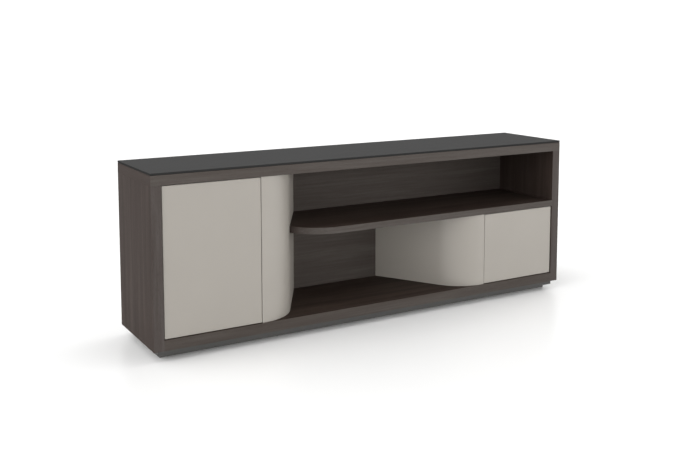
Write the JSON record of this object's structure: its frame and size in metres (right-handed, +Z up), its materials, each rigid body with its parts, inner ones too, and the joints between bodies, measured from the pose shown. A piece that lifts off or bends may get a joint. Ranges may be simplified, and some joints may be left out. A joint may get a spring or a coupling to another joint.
{
  "type": "office credenza",
  "caption": "Low office credenza in dark wood with a glass top, a tall curved cupboard at one end, a low one at the other, and open niches with a rounded shelf between.",
  "frame": {"origin": "on the floor, under the middle of the case", "axes": "+X to the right as seen from the front, +Y from front to back, +Z up"},
  "size_m": [2.4, 0.48, 0.86],
  "materials": {
    "case_wood": "dark grey-brown stained oak veneer, satin",
    "taupe_lacquer": "warm grey lacquer, satin",
    "dark_glass": "back-painted dark glass, polished",
    "base_paint": "dark grey-green paint, matte",
    "steel": "satin",
    "zinc": "cast zinc, matte",
    "dowel_beech": "raw beech",
    "black_plastic": "matte",
    "grey_plastic": "matte",
    "clear_plastic": "clear, soft"
  },
  "bodies": {
    "carcass": {"back_panel": "case_wood", "back_screws": "steel", "base_board": "base_paint", "base_screws": "steel", "bottom_panel": "case_wood", "cam_bolts": "steel", "cam_locks": "zinc", "case_dowels": "dowel_beech", "glass_pads": "clear_plastic", "glass_top": "dark_glass", "inner_shelf": "taupe_lacquer", "inner_shelf_pins": "steel", "left_case_pivot_screws": "steel", "left_case_pivots": "steel", "left_curved_wall": "taupe_lacquer", "left_door_buffers": "clear_plastic", "left_latch_body": "black_plastic", "left_latch_screws": "steel", "left_post": "taupe_lacquer", "left_side_panel": "case_wood", "main_shelf": "case_wood", "plinth_cross_rails": "base_paint", "plinth_front_rail": "base_paint", "plinth_glides": "grey_plastic", "plinth_left_rail": "base_paint", "plinth_rear_rail": "base_paint", "plinth_right_rail": "base_paint", "plinth_screws": "steel", "right_case_pivot_screws": "steel", "right_case_pivots": "steel", "right_curved_wall": "taupe_lacquer", "right_door_buffers": "clear_plastic", "right_latch_body": "black_plastic", "right_latch_screws": "steel", "right_post": "taupe_lacquer", "right_side_panel": "case_wood", "shelf_dowels": "dowel_beech", "top_panel": "case_wood", "top_screws": "steel", "wall_dowels": "dowel_beech"},
    "left_door": {"left_door": "taupe_lacquer", "left_door_pivots": "steel", "left_door_pivot_screws": "steel", "left_door_striker": "steel"},
    "right_door": {"right_door": "taupe_lacquer", "right_door_pivots": "steel", "right_door_pivot_screws": "steel", "right_door_striker": "steel"},
    "left_latch_plunger": {"left_latch_plunger": "black_plastic"},
    "right_latch_plunger": {"right_latch_plunger": "black_plastic"}
  },
  "joints": [
    {"name": "left_door_hinge", "type": "hinge", "parent": "carcass", "child": "left_door", "pos_m": [-1.125, -0.226, 0.45], "axis": [0, 0, -1], "range_deg": [0, 110]},
    {"name": "right_door_hinge", "type": "hinge", "parent": "carcass", "child": "right_door", "pos_m": [1.125, -0.226, 0.29], "axis": [0, 0, 1], "range_deg": [0, 110]},
    {"name": "left_latch_plunger_slide", "type": "slide", "parent": "carcass", "child": "left_latch_plunger", "axis": [0, 1, 0], "range_m": [0, 0.0025], "stiffness_N_per_m": 100, "springref_m": -0.005},
    {"name": "right_latch_plunger_slide", "type": "slide", "parent": "carcass", "child": "right_latch_plunger", "axis": [0, 1, 0], "range_m": [0, 0.0025], "stiffness_N_per_m": 100, "springref_m": -0.005}
  ]
}
